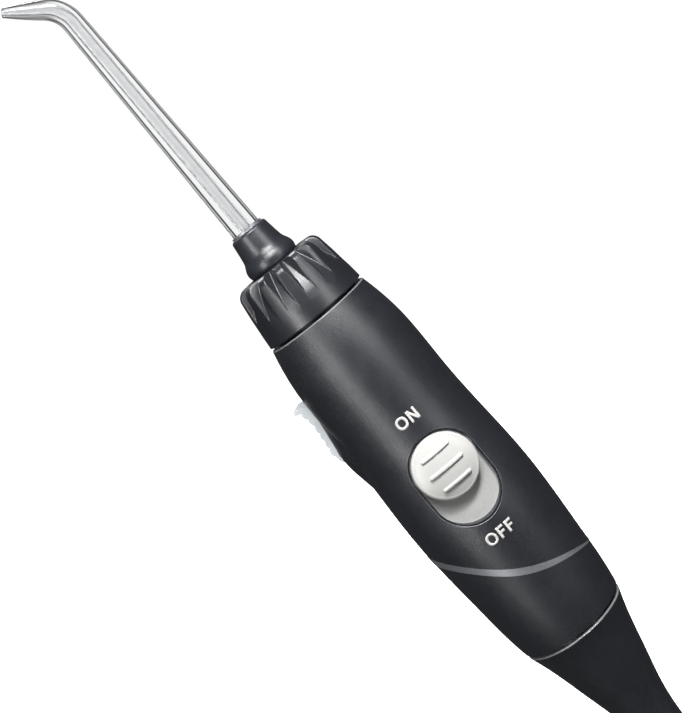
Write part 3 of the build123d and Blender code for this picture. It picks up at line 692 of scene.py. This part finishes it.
def release_profile():
    """Side view of the release button as (x, z), round from its foot."""
    foot = [(-13.4, 100.3), (-15.7, 101.3), (crest_x(LOBE_START) + LOBE_DEPTH, LOBE_START)]
    points = smooth_curve(foot, 9)
    for lobe in range(LOBES):
        for step in range(1, 15):
            z = LOBE_START + (lobe + step / 14) * LOBE_PITCH
            rise = math.sin(math.pi * step / 14) ** 0.6 if step < 14 else 0.0
            points.append((crest_x(z) + LOBE_DEPTH * (1 - rise), z))
    hook = [
        points[-1], (-16.6, 115.3), (-17.25, 115.6), (-17.48, 116.1), (-17.05, 116.48),
        (-16.2, 116.33), (-14.6, 115.9),
    ]
    points += smooth_curve(hook, 30)[1:]
    points += [(-12.7, 115.8), (-12.85, 110.0), (-12.9, 103.2)]
    for step in range(9):
        turn = math.pi / 2 - math.pi * step / 8
        x = RELEASE_PIN[0] + RELEASE_FOOT_RADIUS * math.cos(turn)
        points.append((x, RELEASE_PIN[1] + RELEASE_FOOT_RADIUS * math.sin(turn)))
    return points


def build_release_button():
    """Release button with softened edges and the pusher behind it, turned to the rear."""
    profile = release_profile()
    count = len(profile)
    half = RELEASE_HALF_WIDTH
    vertices = [(x, -half, z) for x, z in profile] + [(x, half, z) for x, z in profile]
    faces = [tuple(range(count)), tuple(range(2 * count - 1, count - 1, -1))]
    for index in range(count):
        after = (index + 1) % count
        faces.append((index, index + count, after + count, after))
    start = len(vertices)
    vertices += [(x, y, z) for x in PUSHER[0] for y in PUSHER[1] for z in PUSHER[2]]
    for face in ((0, 1, 3, 2), (4, 6, 7, 5), (0, 4, 5, 1), (2, 3, 7, 6), (0, 2, 6, 4), (1, 5, 7, 3)):
        faces.append(tuple(start + index for index in face))
    cosine, sine = math.cos(RELEASE_TURN), math.sin(RELEASE_TURN)
    vertices = [(x * cosine - y * sine, x * sine + y * cosine, z) for x, y, z in vertices]
    button = add_mesh(
        "release_lever", vertices, faces, "release", ["release_button"], 35
    )
    fix_normals(button)
    rounding = button.modifiers.new("rounding", "BEVEL")
    rounding.width = RELEASE_EDGE_ROUND * MM
    rounding.segments = 4
    rounding.limit_method = "ANGLE"
    rounding.angle_limit = math.radians(60)
    paint(button, "pale_button")


# --- legends ------------------------------------------------------------------------------------

LETTER_HEIGHT = 2.8
LETTER_STROKE = 0.56
LETTER_SQUARENESS = 2.3        # 2 would make the O an ellipse
LEGEND_ARC = 14.6              # radius that the words are wrapped on
LEGEND_LIFT = 0.04             # height of the print over the shell
LEGEND_FILM = 0.05             # thickness of the print


def letter_o(width):
    """Ring of an O as quads between two rounded outlines, in letter units."""
    points, faces, count = [], [], 48
    for inset in (0.0, LETTER_STROKE / 2, LETTER_STROKE):
        half_w, half_h = width / 2 - inset, LETTER_HEIGHT / 2 - inset
        for step in range(count):
            turn = 2 * math.pi * step / count
            c, s = math.cos(turn), math.sin(turn)
            squash = (abs(c) ** LETTER_SQUARENESS + abs(s) ** LETTER_SQUARENESS)
            squash **= -1 / LETTER_SQUARENESS
            x, z = width / 2 + half_w * c * squash, LETTER_HEIGHT / 2 + half_h * s * squash
            points.append((x, z))
    return points, grid_faces(3, count)


def strokes(quads):
    """Grid of points and faces over each four-cornered stroke."""
    points, faces = [], []
    for corners in quads:
        a, b, c, d = (np.array(corner_point, float) for corner_point in corners)
        start = len(points)
        for row in range(9):
            for column in range(4):
                u, v = column / 3, row / 8
                points.append(tuple((a * (1 - u) + b * u) * (1 - v) + (d * (1 - u) + c * u) * v))
        for face in grid_faces(9, 4, close_columns=False):
            faces.append(tuple(start + index for index in face))
    return points, faces


def upright(x0, x1, z0, z1):
    """Four corners of a rectangular stroke."""
    return [(x0, z0), (x1, z0), (x1, z1), (x0, z1)]


def letter_n(width):
    """Two uprights and a slanting stroke."""
    h, t = LETTER_HEIGHT, LETTER_STROKE
    slant = [(width - t * 1.15, 0), (width, 0), (t * 1.15, h), (0, h)]
    return strokes([upright(0, t, 0, h), slant, upright(width - t, width, 0, h)])


def letter_f(width):
    """One upright and two bars."""
    h, t = LETTER_HEIGHT, LETTER_STROKE
    bars = [upright(t, width, h - t, h), upright(t, width * 0.88, h * 0.42, h * 0.42 + t)]
    return strokes([upright(0, t, 0, h), *bars])


def build_legend(name, letters, centre_x, centre_z):
    """Printed word wrapped on the handle; letters are (shape, width, gap after), the last gap 0."""
    cursor = centre_x - sum(width + gap for _, width, gap in letters) / 2
    front = shell_surface()
    vertices, faces = [], []
    for make, width, gap in letters:
        points, quads = make(width)
        faces += [tuple(len(vertices) + index for index in quad) for quad in quads]
        for x, z in points:
            around = LEGEND_ARC * math.sin((cursor + x) / LEGEND_ARC)
            place, normal = front(around, centre_z - LETTER_HEIGHT / 2 + z)
            vertices.append(tuple(place + normal * LEGEND_LIFT))
        cursor += width + gap
    piece = add_mesh(name, vertices, faces, "handle")
    fix_normals(piece)
    film = piece.modifiers.new("film", "SOLIDIFY")
    film.thickness = LEGEND_FILM * MM
    film.offset = 0
    paint(piece, "legend")


def build_legends():
    """The words ON above the switch and OFF below it."""
    on = [(letter_o, 2.6, 0.5), (letter_n, 2.2, 0)]
    off = [(letter_o, 2.6, 0.5), (letter_f, 1.7, 0.45), (letter_f, 1.7, 0)]
    build_legend("legend_on", on, 0.05, 102.1)
    build_legend("legend_off", off, -0.2, 71.5)


# --- stage, light and camera --------------------------------------------------------------------

def stage_material():
    """Plain white paper with hardly any texture, lit through from below."""
    m = Nodes("backdrop")
    fibres = m.noise(35, 4)
    m.set(Specular_IOR_Level=0.1, Emission_Color=(1, 1, 1, 1), Emission_Strength=1.05)
    m.to_shader(
        Base_Color=m.colours(m.span(fibres, 0, 1), (0.90, 0.90, 0.90), (0.93, 0.93, 0.93)),
        Roughness=m.span(fibres, 0.85, 0.95),
    )
    return m.material


def build_stage():
    """Floor that the tail end stands on; it lights nothing."""
    half = 6.0
    mesh = bpy.data.meshes.new("floor")
    corners = [(-half, -half, 0), (half, -half, 0), (half, half, 0), (-half, half, 0)]
    mesh.from_pydata(corners, [], [(0, 1, 2, 3)])
    floor = bpy.data.objects.new("floor", mesh)
    floor.location.z = -0.0002
    floor.visible_diffuse = False
    floor.visible_glossy = False
    floor.visible_transmission = False
    floor.visible_shadow = False
    mesh.materials.append(stage_material())
    bpy.context.scene.collection.objects.link(floor)


LIGHTS_AIM = Vector((0, 0, 0.11))
LIGHTS_DISTANCE = 0.7


def area_light(name, azimuth, elevation, width, height, watts, scatters=True, mirrors=True):
    """Soft box turned to the middle of the handset; azimuth runs from the front towards +X."""
    data = bpy.data.lights.new(name, "AREA")
    data.shape = "RECTANGLE"
    data.size, data.size_y = width, height
    data.energy = watts
    light = bpy.data.objects.new(name, data)
    turn, rise = math.radians(azimuth), math.radians(elevation)
    level = math.cos(rise)
    outward = Vector((math.sin(turn) * level, -math.cos(turn) * level, math.sin(rise)))
    light.location = LIGHTS_AIM + outward * LIGHTS_DISTANCE
    light.rotation_euler = (-outward).to_track_quat("-Z", "Y").to_euler()
    light.visible_diffuse = scatters
    light.visible_glossy = mirrors
    bpy.context.scene.collection.objects.link(light)


def math_node(tree, operation, *values):
    """Output of one calculation on numbers and other outputs."""
    node = tree.nodes.new("ShaderNodeMath")
    node.operation = operation
    for socket, value in zip(node.inputs, values):
        if isinstance(value, float):
            socket.default_value = value
        else:
            tree.links.new(value, socket)
    return node.outputs[0]


def size_ramp(tree, value, start, end, low, high):
    """Smooth step from low to high while the size of a value goes from start to end."""
    node = tree.nodes.new("ShaderNodeMapRange")
    node.interpolation_type = "SMOOTHSTEP"
    tree.links.new(math_node(tree, "ABSOLUTE", value), node.inputs["Value"])
    settings = {"From Min": start, "From Max": end, "To Min": low, "To Max": high}
    for socket, setting in settings.items():
        node.inputs[socket].default_value = setting
    return node.outputs["Result"]


def build_world():
    """White surroundings to look at and through, and a dim studio to be lit by and to reflect."""
    world = bpy.data.worlds.new("surroundings")
    world.use_nodes = True
    tree = world.node_tree
    background = tree.nodes["Background"]
    background.inputs["Color"].default_value = (1, 1, 1, 1)
    rays = tree.nodes.new("ShaderNodeLightPath").outputs
    direction = tree.nodes.new("ShaderNodeTexCoord")
    split = tree.nodes.new("ShaderNodeSeparateXYZ")
    tree.links.new(direction.outputs["Generated"], split.inputs[0])
    through = rays["Is Transmission Ray"]
    steep = size_ramp(tree, split.outputs["Z"], 0.2, 0.5, 0.0, 1.0)
    middle = size_ramp(tree, split.outputs["X"], 0.2, 0.4, 1.0, 0.0)
    seen = math_node(tree, "MAXIMUM", rays["Is Camera Ray"], through)
    level = math_node(tree, "MULTIPLY_ADD", seen, 0.95, 0.05)
    for shade, factor in ((middle, -0.22), (steep, -0.72)):
        shade = math_node(tree, "MULTIPLY", through, shade)
        level = math_node(tree, "MULTIPLY_ADD", shade, factor, level)
    level = math_node(tree, "MULTIPLY_ADD", rays["Is Diffuse Ray"], 0.12, level)
    tree.links.new(level, background.inputs["Strength"])
    bpy.context.scene.world = world


FLAG_DISTANCE = 0.6
FLAG_MIDDLE_Z = 0.2
FLAG_HALF_HEIGHT = 0.5


def build_flag(name, azimuth, width):
    """Dark card behind the handset that only the clear tip sees, as the dark lines along it."""
    turn = math.radians(azimuth)
    outward = Vector((math.sin(turn), -math.cos(turn), 0))
    middle = outward * FLAG_DISTANCE + Vector((0, 0, FLAG_MIDDLE_Z))
    half = Vector((math.cos(turn), math.sin(turn), 0)) * (width * 0.5)
    rise = Vector((0, 0, FLAG_HALF_HEIGHT))
    corners = [middle - half - rise, middle + half - rise, middle + half + rise, middle - half + rise]
    mesh = bpy.data.meshes.new(name)
    mesh.from_pydata(corners, [], [(0, 1, 2, 3)])
    mesh.materials.append(MATERIALS["black_rubber"])
    flag = bpy.data.objects.new(name, mesh)
    bpy.context.scene.collection.objects.link(flag)
    flag.visible_camera = flag.visible_diffuse = flag.visible_glossy = flag.visible_shadow = False


def build_light():
    """Strips at the sides that show as highlights, a key above that throws the shadows, and fills."""
    build_world()
    for side, sign in (("left", -1), ("right", 1)):
        build_flag(f"inner_flag_{side}", sign * 137, 0.15)
        build_flag(f"outer_flag_{side}", sign * 112, 0.26)
    area_light("left_strip", -39, 7, 0.1, 0.7, 2.4, scatters=False)
    area_light("right_soft", 41, 22, 0.22, 0.9, 2.4, scatters=False)
    area_light("top_key", 17, 46, 0.42, 0.2, 5.2)
    area_light("shadow_key", 38, 45, 0.12, 0.12, 6.0, mirrors=False)
    area_light("left_fill", -75, 10, 0.4, 0.6, 3.5, mirrors=False)
    area_light("back_top", 180, 55, 0.4, 0.3, 3.5)


CAMERA_PLACE = Vector((-0.00647, -0.34795, 0.158))
CAMERA_AIM = Vector((-0.0004, 0.0, 0.118))
CAMERA_ROLL = math.radians(39.9)
CAMERA_LENS = 83.1


def build_camera():
    """Long lens in front of the switch, rolled so that the handset leans to the upper left."""
    data = bpy.data.cameras.new("camera")
    data.lens = CAMERA_LENS
    data.clip_start = 0.01
    camera = bpy.data.objects.new("camera", data)
    bpy.context.scene.collection.objects.link(camera)
    forward = (CAMERA_AIM - CAMERA_PLACE).normalized()
    level = forward.cross(Vector((0, 0, 1))).normalized()
    upright = level.cross(forward)
    right = level * math.cos(CAMERA_ROLL) - upright * math.sin(CAMERA_ROLL)
    up = level * math.sin(CAMERA_ROLL) + upright * math.cos(CAMERA_ROLL)
    turn = Matrix((right, up, -forward)).transposed()
    camera.matrix_world = Matrix.Translation(CAMERA_PLACE) @ turn.to_4x4()
    bpy.context.scene.camera = camera


bpy.context.scene.view_settings.view_transform = "Standard"
paint_frame()
build_knob()
build_slider_button()
build_switch_bezel()
build_jet_tip()
build_release_button()
build_legends()
build_stage()
build_light()
build_camera()
